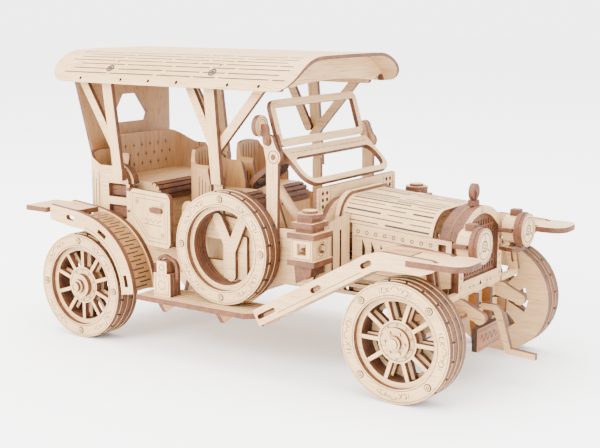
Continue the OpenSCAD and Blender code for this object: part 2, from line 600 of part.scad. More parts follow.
// ---- spare wheel ----
spare_z = 64.5;
spare_out = 62.5;
module spare_tyre() color("burlywood") placed() translate([spare_x, 0, spare_z])
    translate([0, wheel_out - spare_out, 0]) tyre(near, 0);
module spare_bracket() color("wheat") placed() translate([spare_x, 0, 0]) {
    // a forked strap fills the tyre's hole from side to side
    side_plate(-50.7, 2.6) {
        polygon(strip([-1, spare_z - 17], [-1, spare_z - 2], 6));
        polygon(strip([-1, spare_z - 3], [7, spare_z + 15], 6));
        polygon(strip([-1, spare_z - 3], [-10, spare_z + 14], 6));
    }
    side_plate(-tub_y - 1.2, 2.4) polygon(round_box(-8, 8, spare_z - 19, spare_z + 5, 1));
}

// ---- windscreen: fixed posts and lower frame, with a tilting upper frame ----
screen_y = 42.5;
post_y = tub_y + 1.25;
pivot = [22.3, 114.4];
screen_top = [13.4, 143];
screen_mid = [21.9, 116.9];
screen_foot = [40.4, 99.6];
upper_foot = [20.7, 118.6];
mirror_boss = [18.8, 122.6];
module windscreen_posts() color("wheat") placed() both_sides() side_plate(-post_y, 2.4) difference() {
    union() {
        polygon(concat([[18, 66], [24.4, 66]], arc(pivot, 4.3, -50, 60, 6), arc(mirror_boss, 3.5, 0, 200, 8),
            [[17.6, 112]]));
        translate(pivot) circle(4.3);
    }
    translate(pivot) circle(1.5 + fit);
}
module slanted(a, b) {
    // draws its children in a plane through two heights, with the width along Y
    lean = atan2(b[0] - a[0], b[1] - a[1]);
    translate([a[0], 0, a[1]]) rotate([0, lean, 0]) rotate([90, 0, 90])
        linear_extrude(2.6, center = true) children();
}
function dist(a, b) = norm([b[0] - a[0], b[1] - a[1]]);
module window_frame(half_w, height, bar, r) difference() {
    polygon(round_box(-half_w, half_w, 0, height, r));
    polygon(round_box(-half_w + bar, half_w - bar, bar, height - bar, max(r - bar, 1)));
}
module windscreen_lower() color("wheat") placed() slanted(screen_foot, screen_mid) difference() {
    height = dist(screen_foot, screen_mid);
    low_corner = 9;
    polygon(concat([[-screen_y, height], [screen_y, height]],
        arc([screen_y - low_corner, low_corner], low_corner, 0, -90, 6),
        arc([-screen_y + low_corner, low_corner], low_corner, -90, -180, 6)));
    polygon(round_box(-screen_y + 3.4, screen_y - 3.4, 3.4, height - 6.5, 5.6));
}
module windscreen_upper() color("wheat") placed() {
    slanted(upper_foot, screen_top) window_frame(screen_y + 0.3, dist(upper_foot, screen_top), 4.2, 5);
    both_sides() {
        // hinge lugs and their pins
        side_plate(-screen_y - 1.4, 2.2) polygon(strip(pivot, pivot + [-2.6, 9], 4.6));
        pin_y(pivot[0], -post_y - 1.6, -screen_y - 0.4, pivot[1], 1.5);
    }
}
module side_mirror() color("burlywood") placed() {
    // round mirror on a small bracket outside the near post
    mirror_z = 130.5;
    mirror_y = -post_y - 2.2;
    side_plate(mirror_y, 2) polygon(strip([18.2, mirror_z - 1], mirror_boss, 4));
    side_plate(mirror_y, 2) polygon(strip([15, mirror_z], [18.2, mirror_z - 1], 2.4));
    translate([14.4, mirror_y, mirror_z]) rotate([0, 90, 0]) cylinder(h = 3, r = 5.7, center = true);
    pin_y(mirror_boss[0], -post_y - 3.8, -post_y - 1.2, mirror_boss[1], 1.2);
}

// ---- roof ----
// Each side of the roof is an arc from its lower edge to a nearly flat crown.
side_r = 33;
side_z = roof_high - 0.2 - side_r;
side_c = roof_y - sqrt(pow(side_r, 2) - pow(roof_low - side_z, 2));
function roof_arc(in) = let (r = side_r - in, a = asin((roof_low - side_z) / r)) concat(
    arc([-side_c, side_z], r, 180 - a, 92, 9),
    [for (i = [-4:4]) [i * 6.5, roof_high - in - 0.00023 * pow(i * 6.5, 2)]],
    arc([side_c, side_z], r, 88, a, 9));
function reversed(list) = [for (i = [len(list) - 1:-1:0]) list[i]];
module roof_sheet() color("wheat") placed() difference() {
    intersection() {
        translate([roof_rear - 1, 0, 0]) rotate([90, 0, 90]) linear_extrude(roof_front - roof_rear + 2)
            polygon(concat(roof_arc(0), reversed(roof_arc(thin))));
        side_plate(0, 140) polygon(concat([[roof_rear, 168]],
            arc([roof_rear + 12, roof_low + 12], 12, 180, 270, 8),
            arc([roof_front - 12, roof_low + 12], 12, 270, 360, 8), [[roof_front, 168]]));
    }
    for (x = [-109, -78, -57.5, -37.3, -2.3, 18.2])
        translate([x, 0, 151.6]) rotate([90, 0, 0]) cylinder(h = 140, r = 0.9, center = true);
}
// Each bow has its place along the car and the depth of its middle.
bows = [[-125, 9], [-94, 9], [-19.5, 9], [26, 14]];
post_plane = 50;
strut_plane = post_plane - 2.9;
module roof_bow(x, depth) cross_plate(x) difference() {
    polygon(roof_arc(thin + 0.1));
    polygon(concat([[-70, 140], [-roof_y + 14, 140], [-roof_y + 14, 151]],
        arc([0, -180], roof_high - depth + 180, 97, 83, 10),
        [[roof_y - 14, 151], [roof_y - 14, 140], [70, 140]]));
    for (side = [near, far])
        polygon([[side * 44, 140], [side * 53, 140], [side * 53, 154.2], [side * 44, 151]]);
}
module roof_bows() color("tan") placed() {
    for (b = bows) roof_bow(b[0], b[1]);
    // rails along both sides carry the posts and the struts
    both_sides() side_plate(-strut_plane + 2.9, 2.8) polygon(round_box(-123.4, 24.4, 148, 153.5, 1.5));
}
strut_ends = [[[-116, 150.5], [-92.5, 112]], [[14, 150.5], [-17, 115]], [[-36, 150.5], [-20.5, 120]]];
module roof_posts() color("peru") placed() both_sides() {
    side_plate(-post_plane, 2.8) polygon([[-98, 152.5], [-91, 152.5], [-83.6, 96], [-90, 96]]);
    side_plate(-post_plane, 2.8) polygon([[-23, 152.5], [-16, 152.5], [-11.6, 97], [-18, 97]]);
    side_plate(-tub_y - 2.2, 4.4) polygon(round_box(-89.8, -83.8, 93, 100, 1));
    side_plate(-tub_y - 1.2, 2.3) polygon(round_box(-17.8, -11.8, 70, 101, 1));
}
module roof_struts() color("peru") placed() both_sides() for (s = strut_ends) {
    side_plate(-strut_plane, 2.8) polygon(strip(s[0], s[1], 5));
    for (p = s) pin_y(p[0], -strut_plane - 0.5, -strut_plane + 1.5, p[1], 1.2);
}
module rear_curtain() color("tan") placed() {
    foot = [-121.7, 98];
    top = [-128.5, 152];
    slanted(foot, top) difference() {
        polygon([[-34, 0], [-42, dist(foot, top)], [42, dist(foot, top)], [34, 0]]);
        polygon([[-14, 28], [-11.5, 23.5], [14.5, 23.5], [17, 28], [9, 40.5], [-4, 40.5]]);
    }
}

// ---- doors: they swing outward on a hinge pin at the rear edge ----
door_y = tub_y + 1.9;
door_low = 58.5;
door_ajar = 11;
module door(side, ajar) color("wheat") placed() mirror([0, side + 1, 0])
    translate([hinge_x, -door_y, 0]) rotate(-ajar) translate([-hinge_x, door_y, 0]) difference() {
        union() {
            side_plate(-door_y, 2.4)
                polygon([[hinge_x, 77], [hinge_x, 87], [hinge_x + 4, 87], [hinge_x + 4, 77]]);
            side_plate(-door_y, 2.4) polygon(concat(
                [[hinge_x + 2.2, 73]], arc([hinge_x + 6.2, 85.5], 4, 180, 90, 5),
                arc([door_x1 - 4, 85.5], 4, 90, 0, 5), arc([door_x1 - 4, door_low + 4], 4, 0, -90, 5),
                [[-63.5, door_low]]));
            translate([hinge_x, -door_y, hinge_low + 0.9])
                cylinder(h = hinge_high - hinge_low - 1.8, r = 1.5);
            // latch handle
            side_plate(-door_y - 2, 2) polygon(strip([-57, 79.4], [-49.5, 79.4], 3));
        }
        translate([hinge_x, -door_y, hinge_low]) cylinder(h = hinge_high - hinge_low, r = hinge_r + fit);
    }
module door_near() door(near, door_ajar);
module door_far() door(far, 0);

// ---- starting crank: a flat bent arm that turns under the radiator ----
module crank() color("burlywood") placed() {
    side_plate(0, ply) polygon([[121, crank_z + 1.6], [129.6, crank_z + 1.6], [132.5, crank_z - 1],
        [138.2, 18], [front_end, 17], [front_end, 13.9], [135.8, 14.9], [128.2, crank_z - 1.6],
        [121, crank_z - 1.6]]);
    translate([113, 0, crank_z]) rotate([0, 90, 0]) cylinder(h = 8.5, r = crank_r);
}

chassis_rails();
cross_members();
floor_pan();
leaf_springs();
front_axle_beam();
running_boards();
rear_fender_sides();
rear_fender_covers();
rear_fender_caps();
front_fender_sides();
front_fender_covers();
front_fender_caps();
fender_stays();
tub_sides();
tub_rear();
rear_seat_base();
rear_seat_back();
front_seat_bases();
front_seat_backs();
seat_cushions();
footboard();
dash_panel();
cowl();
bonnet_top();
bonnet_sides();
radiator_core();
radiator_front();
radiator_grille();
mascot();
headlights();
headlight_brackets();
number_plate();
side_lamps();
fuel_can();
spare_tyre();
spare_bracket();
windscreen_posts();
windscreen_lower();
windscreen_upper();
side_mirror();
roof_sheet();
roof_bows();
roof_posts();
roof_struts();
rear_curtain();
steering_column();
steering_wheel();
brake_lever();
knuckle_near();
knuckle_far();
tie_rod();
front_tyre_near();
front_tyre_far();
front_wheel_near();
front_wheel_far();
rear_tyres();
rear_wheels();
door_near();
door_far();
crank();
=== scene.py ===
"""Looks of a laser-cut plywood model of an open tourer car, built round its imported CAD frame."""

import math

import bpy
import numpy as np
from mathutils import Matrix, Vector
from mathutils.bvhtree import BVHTree


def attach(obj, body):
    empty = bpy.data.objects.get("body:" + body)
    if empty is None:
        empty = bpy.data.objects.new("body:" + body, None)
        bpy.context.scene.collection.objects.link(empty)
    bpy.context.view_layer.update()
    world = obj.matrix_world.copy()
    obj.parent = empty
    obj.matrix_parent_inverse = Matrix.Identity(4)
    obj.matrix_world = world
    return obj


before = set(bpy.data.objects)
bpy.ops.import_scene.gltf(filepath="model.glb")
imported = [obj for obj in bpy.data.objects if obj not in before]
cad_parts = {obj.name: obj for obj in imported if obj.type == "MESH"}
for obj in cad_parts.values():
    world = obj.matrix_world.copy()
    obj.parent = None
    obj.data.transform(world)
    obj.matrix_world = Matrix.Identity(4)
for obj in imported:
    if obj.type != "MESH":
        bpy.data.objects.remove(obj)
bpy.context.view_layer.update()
MM = 0.001
PLY = 3.0  # thickness of the main sheet, mm
MOVE_X = -4.0  # from the axles' midpoint to the frame's origin, mm


# ---- node helpers ----
def new_material(name):
    mat = bpy.data.materials.new(name)
    mat.use_nodes = True
    nodes = mat.node_tree.nodes
    nodes.clear()
    out = nodes.new("ShaderNodeOutputMaterial")
    shader = nodes.new("ShaderNodeBsdfPrincipled")
    mat.node_tree.links.new(shader.outputs[0], out.inputs[0])
    return mat, nodes, mat.node_tree.links, shader


def noise(nodes, links, vector, scale, detail=3.0, rough=0.6):
    tex = nodes.new("ShaderNodeTexNoise")
    tex.inputs["Scale"].default_value = scale
    tex.inputs["Detail"].default_value = detail
    tex.inputs["Roughness"].default_value = rough
    links.new(vector, tex.inputs["Vector"])
    return tex.outputs[0]


def stretched(nodes, links, axis, along, across):
    """Object coordinates scaled so that a noise runs out into fibres along one axis."""
    coord = nodes.new("ShaderNodeTexCoord")
    mapping = nodes.new("ShaderNodeMapping")
    scale = [across] * 3
    scale["XYZ".index(axis)] = along
    mapping.inputs["Scale"].default_value = scale
    links.new(coord.outputs["Object"], mapping.inputs["Vector"])
    return mapping.outputs[0]


def ramp(nodes, links, fac, stops):
    node = nodes.new("ShaderNodeValToRGB")
    elements = node.color_ramp.elements
    while len(elements) < len(stops):
        elements.new(0.5)
    for element, (place, colour) in zip(elements, stops):
        element.position = place
        element.color = (*colour, 1)
    links.new(fac, node.inputs[0])
    return node.outputs[0]


def mixed(nodes, links, fac, a, b, blend="MIX"):
    node = nodes.new("ShaderNodeMix")
    node.data_type = "RGBA"
    node.blend_type = blend
    if isinstance(fac, float):
        node.inputs[0].default_value = fac
    else:
        links.new(fac, node.inputs[0])
    for value, socket in ((a, node.inputs[6]), (b, node.inputs[7])):
        if isinstance(value, tuple):
            socket.default_value = (*value, 1)
        else:
            links.new(value, socket)
    return node.outputs[2]


def bumped(nodes, links, shader, height, strength, distance):
    bump = nodes.new("ShaderNodeBump")
    bump.inputs["Strength"].default_value = strength
    bump.inputs["Distance"].default_value = distance
    links.new(height, bump.inputs["Height"])
    links.new(bump.outputs[0], shader.inputs["Normal"])


# ---- materials ----
def face_material(name, axis, light, dark, fibre):
    """Sanded birch veneer: long fibres, broad pale figure and a few darker flecks."""
    mat, nodes, links, shader = new_material(name)
    broad = noise(nodes, links, stretched(nodes, links, axis, 6, 45), 1.0, 2.0)
    fine = noise(nodes, links, stretched(nodes, links, axis, 60, 1500), 1.0, 4.0, 0.7)
    figure = ramp(nodes, links, broad, [(0.3, dark), (0.62, light)])
    fibres = ramp(nodes, links, fine, [(0.28, fibre), (0.5, (1, 1, 1))])
    colour = mixed(nodes, links, 0.75, figure, fibres, "MULTIPLY")
    fleck = noise(nodes, links, stretched(nodes, links, axis, 150, 900), 1.0, 1.0)
    flecks = ramp(nodes, links, fleck, [(0.72, (0, 0, 0)), (0.8, (0.45, 0.45, 0.45))])
    links.new(mixed(nodes, links, flecks, colour, fibre), shader.inputs["Base Color"])
    links.new(ramp(nodes, links, fine, [(0.3, (0.62,) * 3), (0.7, (0.5,) * 3)]), shader.inputs["Roughness"])
    bumped(nodes, links, shader, fine, 0.25, 0.00008)
    return mat


def edge_material(name, light, dark):
    """Laser-cut edge: scorched brown blotches, soot streaks and a dull burnt surface."""
    mat, nodes, links, shader = new_material(name)
    coord = nodes.new("ShaderNodeTexCoord").outputs["Object"]
    blotch = noise(nodes, links, coord, 160, 3.0)
    streak = noise(nodes, links, coord, 1400, 2.0)
    base = ramp(nodes, links, blotch, [(0.3, dark), (0.68, light)])
    soot = ramp(nodes, links, streak, [(0.3, (0.55, 0.48, 0.44)), (0.6, (1, 1, 1))])
    links.new(mixed(nodes, links, 0.8, base, soot, "MULTIPLY"), shader.inputs["Base Color"])
    links.new(ramp(nodes, links, streak, [(0.3, (0.8,) * 3), (0.7, (0.62,) * 3)]), shader.inputs["Roughness"])
    bumped(nodes, links, shader, streak, 0.35, 0.0001)
    return mat


# ---- wood tones: each sheet has a light tone, a dark tone and a fibre tone ----
PALE_WOOD = (0.60, 0.385, 0.185), (0.49, 0.29, 0.12), (0.36, 0.2, 0.075)
# The bent sheets' darker copy of the pale wood is painted shade: it stands in for light that falls less on
# them
SHADED_WOOD = (0.37, 0.19, 0.066), (0.3, 0.145, 0.046), (0.23, 0.105, 0.032)
STAINED_WOOD = (0.26, 0.085, 0.006), (0.19, 0.058, 0.004), (0.12, 0.033, 0.002)
FACES = {axis: face_material(f"birch_face_{axis}", axis, *PALE_WOOD) for axis in "XYZ"}
# Darker faces for the bent sheets: painted shade
SHADED_FACES = {axis: face_material(f"painted_shade_sheet_{axis}", axis, *SHADED_WOOD) for axis in "XYZ"}
EDGE = edge_material("burnt_edge", (0.15, 0.046, 0.0105), (0.062, 0.0165, 0.0035))
DEEP = edge_material("deep_burnt_edge", (0.045, 0.015, 0.006), (0.022, 0.007, 0.003))
SCORE = edge_material("score_line", (0.03, 0.011, 0.005), (0.014, 0.005, 0.002))
STAIN = face_material("stained_plate", "Y", *STAINED_WOOD)


# ---- each sheet's faces stay pale and its cut edges are burnt ----
SMOOTH_COS = math.cos(math.radians(32))  # polygons that meet more gently than this are one surface
FACING_COS = 0.9  # a polygon looks along an axis when its normal is at least this far along it
RAY_START = 0.01  # mm under the surface
NO_FAR_SIDE = 99.0  # thickness given to a surface with nothing behind it, mm
FACE_WIDTH = 3.15  # a surface wider than this is a sheet's face, mm
STRIP_WIDTH, STRIP_THICK = 2.5, 3.2  # so is a narrower one, when the sheet behind it is this thin, mm


def smooth_groups(mesh, weld):
    """Joins neighbouring polygons that meet gently. Returns each polygon's group and the shared edges."""
    polys = mesh.polygons
    parent = list(range(len(polys)))

    def root(i):
        while parent[i] != i:
            parent[i] = parent[parent[i]]
            i = parent[i]
        return i

    shared = {}
    for p in polys:
        ids = [weld[v] for v in p.vertices]
        for a, b in zip(ids, ids[1:] + ids[:1]):
            shared.setdefault((min(a, b), max(a, b)), []).append(p.index)
    for members in shared.values():
        for other in members[1:]:
            if polys[members[0]].normal.dot(polys[other].normal) > SMOOTH_COS:
                parent[root(members[0])] = root(other)
    return root, shared


def border_lengths(shared, root, place):
    """Length of the border round each smooth group, in mm."""
    around = {}
    for (a, b), members in shared.items():
        owners = {root(m) for m in members}
        if len(owners) > 1 or len(members) == 1:
            length = float(np.linalg.norm(place[a] - place[b]))
            for owner in owners:
                around[owner] = around.get(owner, 0.0) + length
    return around


def sheet_regions(mesh):
    """Groups a mesh's polygons into smooth regions, each with its strip width and sheet thickness in mm."""
    co = np.array([v.co for v in mesh.vertices]) / MM
    _, weld = np.unique(np.round(co, 4), axis=0, return_inverse=True)
    weld = weld.reshape(-1)
    root, shared = smooth_groups(mesh, weld)
    around = border_lengths(shared, root, dict(zip(weld, co)))
    groups = {}
    for p in mesh.polygons:
        groups.setdefault(root(p.index), []).append(p)
    corners = [tuple(p.vertices) for p in mesh.polygons]
    tree = BVHTree.FromPolygons([v.co / MM for v in mesh.vertices], corners)
    regions = []
    for key, members in groups.items():
        area = sum(p.area for p in members) / MM ** 2
        width = 2 * area / max(around.get(key, 0.0), 1e-6)
        biggest = max(members, key=lambda p: p.area)
        hit = tree.ray_cast(biggest.center / MM - biggest.normal * RAY_START, -biggest.normal)
        thick = NO_FAR_SIDE if hit[3] is None else hit[3]
        regions.append((members, width, thick))
    return regions


def give_materials(node, face, edge):
    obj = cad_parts[node]
    obj.data.materials.clear()
    obj.data.materials.append(face)
    obj.data.materials.append(edge)
    return obj


def dress(node, face, edge):
    """Tells faces from cut edges by how wide each smooth region is."""
    obj = give_materials(node, face, edge)
    for members, width, thick in sheet_regions(obj.data):
        is_face = width > FACE_WIDTH or (width > STRIP_WIDTH and thick < STRIP_THICK)
        for p in members:
            p.material_index = 0 if is_face else 1


def dress_along(node, face, edge, axis):
    """Plates stacked along one axis are pale on the faces that look along it and burnt everywhere else."""
    obj = give_materials(node, face, edge)
    for p in obj.data.polygons:
        p.material_index = 0 if abs(p.normal["XYZ".index(axis)]) > FACING_COS else 1
    return obj


LAMP_BOX = (64.9, 76.1)  # heights of the lamps' boxes, mm


def dress_lamps(node, face, edge):
    """Each lamp is a pale box between stacked flat plates whose rims are burnt."""
    obj = dress_along(node, face, edge, "Z")
    for p in obj.data.polygons:
        height = p.center.z / MM
        if LAMP_BOX[0] < height < LAMP_BOX[1] and max(abs(p.normal.x), abs(p.normal.y)) > FACING_COS:
            p.material_index = 0


# Which way the fibres run; where it isn't said they run along the car.
FIBRES_ACROSS = {
    "roof_bows", "dash_panel", "radiator_front", "radiator_core", "radiator_grille", "number_plate",
    "front_axle_beam", "cross_members", "windscreen_upper", "windscreen_lower", "seat_cushions",
    "footboard", "tie_rod", "mascot", "rear_seat_base",
}
FIBRES_UP = {
    "tub_rear", "rear_curtain", "rear_seat_back", "front_seat_backs", "roof_posts", "cowl", "side_lamps",
    "fuel_can", "windscreen_posts", "front_seat_bases", "door_near", "door_far",
}
# Bent sheets that get a darker copy of the wood, as painted shade
SHADED_SHEETS = {
    "rear_fender_covers", "front_fender_covers", "rear_curtain", "rear_seat_back", "front_seat_backs",
    "radiator_grille", "knuckle_near", "knuckle_far",
}
# Nodes whose plates all stand along the car, or all lie flat
STANDING = {
    "roof_posts", "roof_struts", "windscreen_posts", "rear_fender_sides", "front_fender_sides",
    "chassis_rails", "brake_lever", "crank",
}
LYING = {"rear_fender_caps", "front_fender_caps", "running_boards", "floor_pan", "tie_rod"}


def dress_node(name):
    axis = "Y" if name in FIBRES_ACROSS else "Z" if name in FIBRES_UP else "X"
    # The bent sheets get the darker faces, which is painted shade
    face = SHADED_FACES[axis] if name in SHADED_SHEETS else FACES[axis]
    if name == "number_plate":
        dress(name, STAIN, DEEP)
    elif name == "steering_wheel":
        dress(name, EDGE, DEEP)
    elif name in STANDING or "tyre" in name or "wheel" in name:
        dress_along(name, face, EDGE, "Y")
    elif name == "side_lamps":
        dress_lamps(name, face, EDGE)
    elif name in LYING:
        dress_along(name, face, EDGE, "Z")
    else:
        dress(name, face, EDGE)


for node_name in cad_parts:
    dress_node(node_name)


# ---- engraved lines: thin strokes that stand a hair proud of the sheets ----
STROKE_SINK = 0.02  # how far a stroke reaches under its surface, mm
ARC_STEP = 40.0  # millimetre-degrees of arc per segment
FORWARD, BACK, UP = (1, 0, 0), (-1, 0, 0), (0, 0, 1)
SIDES = (-1, 1)  # near, far
FINE = 0.3  # width of the finest lines, mm


class Strokes:
    """Collects ribbons that follow 3-D points with a surface normal at each, in mm."""

    def __init__(self, width=0.5, lift=0.06):
        self.width = width
        self.lift = lift
        self.verts = []
        self.faces = []

    def add(self, points, normals, width=None, closed=False):
        pts = [Vector(p) for p in points]
        ups = [Vector(n).normalized() for n in normals]
        half = (width or self.width) / 2
        section = ((-1, -STROKE_SINK), (1, -STROKE_SINK), (1, self.lift), (-1, self.lift))
        base = len(self.verts)
        count = len(pts)
        for i, (p, up) in enumerate(zip(pts, ups)):
            ahead = pts[(i + 1) % count] if closed or i + 1 < count else p
            behind = pts[i - 1] if closed or i > 0 else p
            side = (ahead - behind).normalized().cross(up) * half
            for across, height in section:
                self.verts.append((p + side * across + up * height) * MM)
        last = count if closed else count - 1
        for i in range(last):
            a = base + 4 * i
            b = base + 4 * ((i + 1) % count)
            for k in range(4):
                self.faces.append((a + k, a + (k + 1) % 4, b + (k + 1) % 4, b + k))
        if not closed:
            end = base + 4 * (count - 1)
            self.faces.append((base + 3, base + 2, base + 1, base))
            self.faces.append((end, end + 1, end + 2, end + 3))

    def line(self, a, b, normal, width=None):
        self.add([a, b], [normal, normal], width)

    def ring(self, centre, radius, normal, width=None, start=0.0, sweep=360.0):
        """A full ring or an arc round a centre, in the plane across the normal."""
        up = Vector(normal).normalized()
        level = abs(up.z) > FACING_COS
        first = up.orthogonal().normalized() if level else Vector(UP).cross(up).normalized()
        second = up.cross(first)
        full = sweep >= 360
        count = max(6, int(radius * sweep / ARC_STEP) + 6)
        steps = count if full else count + 1
        pts = []
        for i in range(steps):
            a = math.radians(start + sweep * i / count)
            pts.append(Vector(centre) + (first * math.cos(a) + second * math.sin(a)) * radius)
        self.add(pts, [up] * steps, width, closed=full)

    def outline(self, corners, normal, width=None):
        self.add(corners, [normal] * len(corners), width, closed=True)

    def make(self, name, body, material=SCORE):
        mesh = bpy.data.meshes.new(name)
        mesh.from_pydata(self.verts, [], self.faces)
        mesh.update()
        mesh.materials.append(material)
        obj = bpy.data.objects.new(name, mesh)
        bpy.context.scene.collection.objects.link(obj)
        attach(obj, body)


def car_x(x):
    """A place along the car measured from the axles' midpoint, in the frame's own x."""
    return x + MOVE_X


def rectangle(u0, u1, v0, v1):
    return (u0, v0), (u1, v0), (u1, v1), (u0, v1)


# ---- roof: dashed bending lines along both sides, and two buckle loops on each side ----
SIDE_ARC_R = 33.0
SIDE_ARC_Y, SIDE_ARC_Z = 29.0, 133.6
SCORE_ROWS = (154.9, 157.3, 159.7, 161.6, 163.2, 164.5, 165.6)  # heights, closer towards the crown
SCORE_REAR, SCORE_FRONT = -124.0, 33.0
SHORTEST_DASH, DASH_STEP, DASH_GAP = 15, 9, 2.2
BUCKLE_X = (-90, -16)
BUCKLE_Z = 157.5


def on_roof(x, z, side):
    """A point on the roof's bent side at a height, and the normal there."""
    angle = math.asin((z - SIDE_ARC_Z) / SIDE_ARC_R)
    out, up = math.cos(angle), math.sin(angle)
    point = (car_x(x), side * (SIDE_ARC_Y + SIDE_ARC_R * out), SIDE_ARC_Z + SIDE_ARC_R * up)
    return point, (0, side * out, up)


def mark_dashes(strokes, side, row, z):
    x = SCORE_REAR + 5 * (row % 3)
    while x < SCORE_FRONT - 3:
        dash = SHORTEST_DASH + DASH_STEP * ((row * 7 + int(x)) % 3)
        a, up = on_roof(x, z, side)
        b, _ = on_roof(min(x + dash, SCORE_FRONT), z, side)
        strokes.line(a, b, up)
        x += dash + DASH_GAP


def mark_roof():
    roof = Strokes(0.6, 0.05)
    for side in SIDES:
        for row, z in enumerate(SCORE_ROWS):
            mark_dashes(roof, side, row, z)
        for x in BUCKLE_X:
            centre, up = on_roof(x, BUCKLE_Z, side)
            roof.ring(centre, 2.1, up, 0.9)
            roof.ring(centre, 1.0, up, 0.5)
            tip, _ = on_roof(x + 2.6, BUCKLE_Z + 3.7, side)
            roof.line(centre, tip, up, 1.1)
    roof.make("roof_score_lines", "car")


# ---- wheels: rings on the rims, ringed pegs, scrolls, and dark seams and notches on the treads ----
AXLE_X = 106.0
WHEEL_R = 31.0
WHEEL_OUT = 66.0
FACE_R = WHEEL_R - 0.5
RIM_HOLE, TREAD_HOLE = 23.1, 20.5
PEG_RING = (FACE_R + RIM_HOLE) / 2
PEG_PROUD = 0.4
PEGS = 4
SCROLL_RING = 26.6
SCROLL = ((-13, 1.4, 300), (13, 1.4, 300), (0, 2.0, 180), (-7, 1.0, 220), (7, 1.0, 220))  # degrees, r, sweep
SCROLL_BARS = (-19, -16, 16, 19)
PLY_SEAMS = (2.8, 6.2, 7.8, 10.2, 12.8)  # depths of the seams, each on the lower of its two plies, mm
SEAM_WIDTH = 0.4
NOTCHES = 20
HUB_RING, HUB_RIVETS = 9.6, 10


def wheel_marks(strokes, x, z, side, outer, turn):
    """Rings on the outer face, a ringed peg every quarter turn and a small scroll between each two pegs."""
    normal = (0, side, 0)

    def at(radius, angle, proud=0.0):
        return (car_x(x) + radius * math.cos(angle), outer + side * proud, z + radius * math.sin(angle))

    strokes.ring(at(0, 0), FACE_R - 0.9, normal, 0.25)
    strokes.ring(at(0, 0), RIM_HOLE + 0.8, normal, FINE)
    for k in range(PEGS):
        peg_angle = math.radians(360 / PEGS * k + turn)
        strokes.ring(at(PEG_RING, peg_angle), 1.75, normal, 0.55)
        strokes.ring(at(PEG_RING, peg_angle, PEG_PROUD), 0.7, normal, 0.4)
        for offset, radius, sweep in SCROLL:
            spot = at(SCROLL_RING, peg_angle + math.radians(45 + offset))
            strokes.ring(spot, radius, normal, 0.28, 90 * k + offset * 9, sweep)
        for offset in SCROLL_BARS:
            angle = peg_angle + math.radians(45 + offset)
            strokes.line(at(25.6, angle), at(27.8, angle), normal, FINE)


def tread_marks(strokes, x, z, side, outer):
    """Dark seams between a tyre's plies, and notches across the outermost ply and the fifth."""
    count = 72
    angles = [2 * math.pi * i / count for i in range(count)]
    ups = [(math.cos(a), 0, math.sin(a)) for a in angles]
    for depth in PLY_SEAMS:
        y = outer - side * depth
        tread = [(car_x(x) + FACE_R * u[0], y, z + FACE_R * u[2]) for u in ups]
        strokes.add(tread, ups, SEAM_WIDTH, closed=True)
        if depth > PLY_SEAMS[0]:
            inside = [(car_x(x) + TREAD_HOLE * u[0], y, z + TREAD_HOLE * u[2]) for u in ups]
            strokes.add(inside, [(-u[0], 0, -u[2]) for u in ups], SEAM_WIDTH, closed=True)
    for k in range(NOTCHES):
        a = 2 * math.pi * (k + 0.5) / NOTCHES
        up = (math.cos(a), 0, math.sin(a))
        for start, stop, width in ((10.3, 13.2, 1.3), (1.0, 2.8, 0.7)):
            ends = [(car_x(x) + FACE_R * up[0], outer - side * d, z + FACE_R * up[2]) for d in (start, stop)]
            strokes.line(*ends, up, width)


def hub_marks(strokes, x, side):
    face_y = side * (WHEEL_OUT - PLY)
    normal = (0, side, 0)
    strokes.ring((car_x(x), face_y, WHEEL_R), HUB_RING, normal, 0.35)
    for k in range(HUB_RIVETS):
        a = math.radians(360 / HUB_RIVETS * (k + 0.5))
        spot = (car_x(x) + (HUB_RING - 1) * math.cos(a), face_y, WHEEL_R + (HUB_RING - 1) * math.sin(a))
        strokes.ring(spot, 0.5, normal, FINE)


def road_wheel_marks(strokes, x, side, turn):
    wheel_marks(strokes, x, WHEEL_R, side, side * WHEEL_OUT, turn)
    tread_marks(strokes, x, WHEEL_R, side, side * WHEEL_OUT)
    hub_marks(strokes, x, side)


def mark_wheels():
    rear = Strokes()
    for side in SIDES:
        road_wheel_marks(rear, -AXLE_X, side, 0)
    rear.make("rear_wheel_marks", "rear_axle")
    for side, word in zip(SIDES, ("near", "far")):
        front = Strokes()
        road_wheel_marks(front, AXLE_X, side, 45)
        front.make(f"front_wheel_marks_{word}", f"front_wheel_{word}")
    spare_x, spare_z, spare_out = -3.7, 64.5, -62.5
    spare = Strokes()
    wheel_marks(spare, spare_x, spare_z, -1, spare_out, 0)
    tread_marks(spare, spare_x, spare_z, -1, spare_out)
    spare.make("spare_wheel_marks", "car")


# ---- fenders: short saw cuts across the bent covers, and a fine line along the side plates ----
COVER_R = 43.0
SIDE_LINE_R = 36.6
FENDER_OUT = 68.0
COVER_CUTS = 23
INNER_CUT, OUTER_CUT = (51.5, 60.5), (55.0, 64.0)  # the cuts alternate between these ends, mm


def mark_fenders():
    fenders = Strokes(0.75)
    for side in SIDES:
        plate_y = side * FENDER_OUT
        for k in range(COVER_CUTS):
            a = math.radians(6 + 3.3 * k)
            up = (math.cos(a), 0, math.sin(a))
            x, z = car_x(-AXLE_X) + COVER_R * up[0], WHEEL_R + COVER_R * up[2]
            low, high = INNER_CUT if k % 2 else OUTER_CUT
            fenders.line((x, side * low, z), (x, side * high, z), up)
        pts = []
        for degrees in range(6, 80, 4):
            a = math.radians(degrees)
            x, z = car_x(-AXLE_X) + SIDE_LINE_R * math.cos(a), WHEEL_R + SIDE_LINE_R * math.sin(a)
            pts.append((x, plate_y, z))
        fenders.add(pts, [(0, side, 0)] * len(pts), FINE)
        fenders.line((car_x(38), plate_y, 36.8), (car_x(88), plate_y, 64.6), (0, side, 0), FINE)
    fenders.make("fender_lines", "car")


